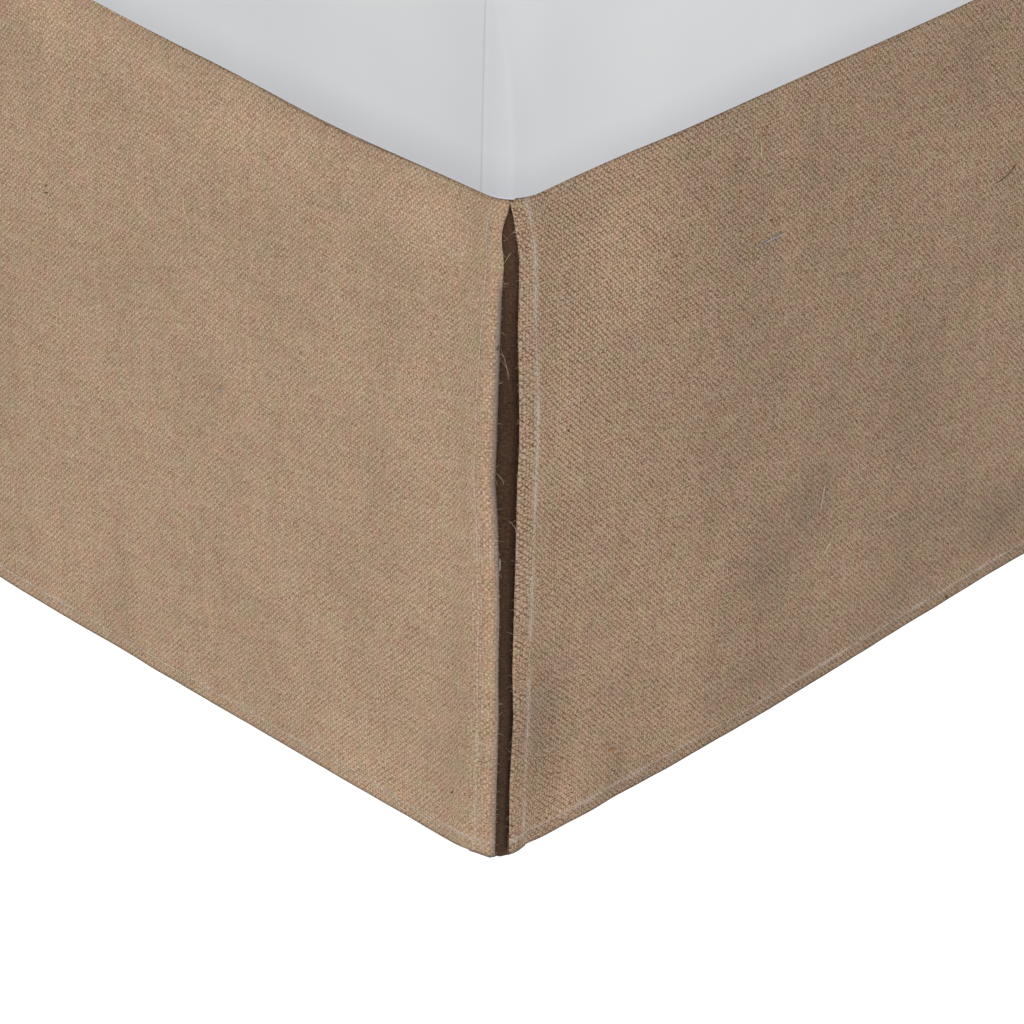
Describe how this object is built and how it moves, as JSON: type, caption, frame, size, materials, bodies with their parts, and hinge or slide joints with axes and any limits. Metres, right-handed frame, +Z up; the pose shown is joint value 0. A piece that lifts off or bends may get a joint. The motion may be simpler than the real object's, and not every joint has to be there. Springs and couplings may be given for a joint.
{
  "type": "bed skirt on a plain mattress and bed base",
  "caption": "Tailored burlap bed skirt with flat drop panels and split corners backed by inserts, hung between a plain mattress and a bed base, where it hides the space under the bed.",
  "frame": {"origin": "centre of the whole object's box, on the floor under the bed", "axes": "+Z up; +Y along the bed from its foot to its open head end; +X to the right seen from the foot"},
  "size_m": [1.5406, 2.0402, 0.6923],
  "materials": {
    "burlap": "coarse plain-woven jute, tan brown, matt, with slubs and loose hairs",
    "deck_cotton": "plain light cotton sheeting, matt",
    "mattress_cover": "white cotton sheeting pulled smooth over the mattress, matt",
    "base_cover": "plain light covering cloth, matt",
    "leg_wood": "dark stained wood, satin"
  },
  "bodies": {
    "root": {"panel_foot": "burlap", "panel_left": "burlap", "panel_right": "burlap", "insert_left": "burlap", "insert_right": "burlap", "deck": "deck_cotton", "mattress": "mattress_cover", "base": "base_cover", "leg_foot_left": "leg_wood", "leg_foot_right": "leg_wood", "leg_middle_left": "leg_wood", "leg_middle_right": "leg_wood", "leg_head_left": "leg_wood", "leg_head_right": "leg_wood"}
  },
  "joints": []
}
